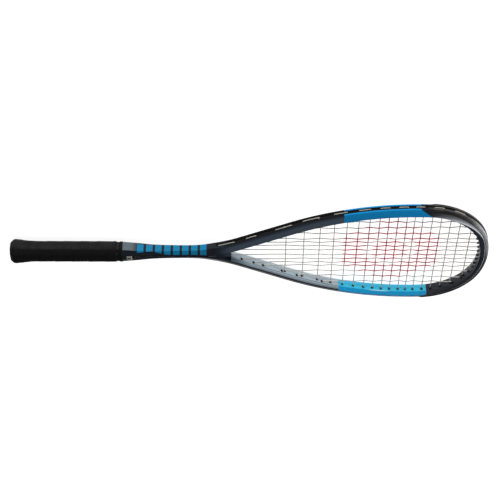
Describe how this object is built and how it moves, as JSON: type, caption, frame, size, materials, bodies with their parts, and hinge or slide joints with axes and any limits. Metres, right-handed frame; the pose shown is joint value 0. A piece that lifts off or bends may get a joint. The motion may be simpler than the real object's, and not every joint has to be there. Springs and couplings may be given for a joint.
{
  "type": "squash racket",
  "caption": "Squash racket with a teardrop hoop on a V throat, moulded hollow frame, woven string bed, grommet strips, bumper guard and wrapped handle.",
  "frame": {"origin": "centre of the flat butt end of the handle", "axes": "+X along the handle to the tip, +Y across the hoop in the string plane, +Z square to the string plane; the racket lies flat"},
  "size_m": [0.686, 0.2108, 0.0308],
  "materials": {
    "frame_lacquer": "lacquered carbon, satin gloss, with slate, blue and charcoal zones",
    "grommet_plastic": "moulded nylon, satin black",
    "bumper_plastic": "moulded nylon, black, ribbed",
    "string": "pale multifilament, slightly glossy, with a red stencil",
    "handle_foam": "moulded polyurethane foam",
    "cap_plastic": "moulded plastic, satin black",
    "badge": "domed plastic, black",
    "staple_steel": "zinc-plated wire",
    "grip": "polyurethane grip strip, perforated, matt black",
    "tape": "adhesive tape, satin black",
    "collar_rubber": "moulded rubber, matt black",
    "label": "silvery film label"
  },
  "bodies": {
    "root": {"frame": "frame_lacquer", "throat_grommets_left": "grommet_plastic", "throat_grommets_right": "grommet_plastic", "side_grommets_left": "grommet_plastic", "side_grommets_right": "grommet_plastic", "bumper_guard": "bumper_plastic", "main_string": "string", "cross_string": "string", "handle_pallet_upper": "handle_foam", "handle_pallet_lower": "handle_foam", "butt_cap": "cap_plastic", "butt_badge": "badge", "butt_cap_staples": "staple_steel", "grip_staple": "staple_steel", "grip_wrap": "grip", "finishing_tape": "tape", "grip_collar": "collar_rubber", "spec_label": "label"}
  },
  "joints": []
}
